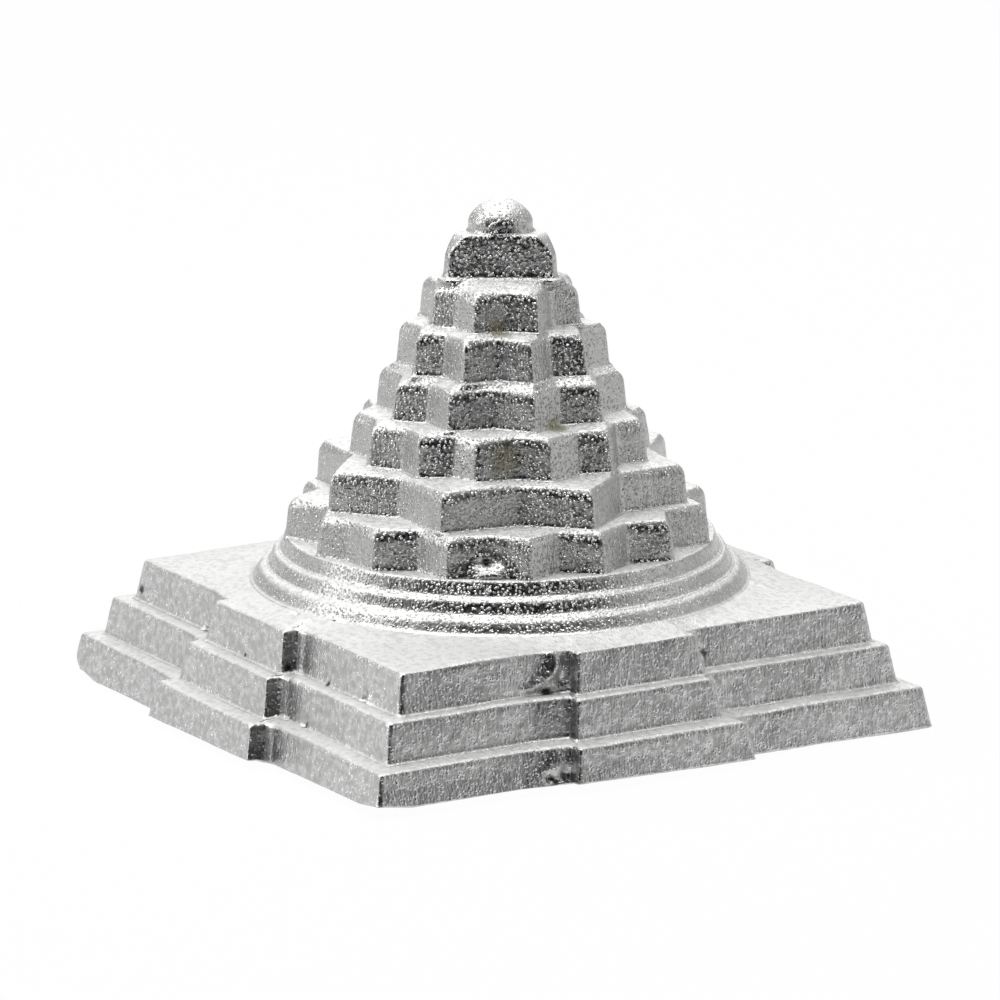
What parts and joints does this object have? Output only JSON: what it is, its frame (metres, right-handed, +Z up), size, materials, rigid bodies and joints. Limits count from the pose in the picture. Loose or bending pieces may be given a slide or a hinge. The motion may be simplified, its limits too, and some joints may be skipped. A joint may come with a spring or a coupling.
{
  "type": "shri yantra",
  "caption": "Small solid cast metal meru yantra: gated square steps, rings, petal and point tiers, a triangle and a dome on top.",
  "frame": {"origin": "middle of the flat bottom of the lower square step", "axes": "+Z up through the dome, -Y to the front, the way a corner of the triangle tier points, +X to the right"},
  "size_m": [0.0426, 0.0426, 0.0326],
  "materials": {
    "cast_alloy": "raw sand-like cast surface, silver grey"
  },
  "bodies": {
    "root": {"lower_square_step": "cast_alloy", "middle_square_step": "cast_alloy", "upper_square_step": "cast_alloy", "lower_ring": "cast_alloy", "middle_ring": "cast_alloy", "upper_ring": "cast_alloy", "sixteen_petal_tier": "cast_alloy", "eight_petal_tier": "cast_alloy", "fourteen_point_tier": "cast_alloy", "outer_ten_point_tier": "cast_alloy", "inner_ten_point_tier": "cast_alloy", "eight_point_tier": "cast_alloy", "triangle_tier": "cast_alloy", "bindu_dome": "cast_alloy"}
  },
  "joints": []
}
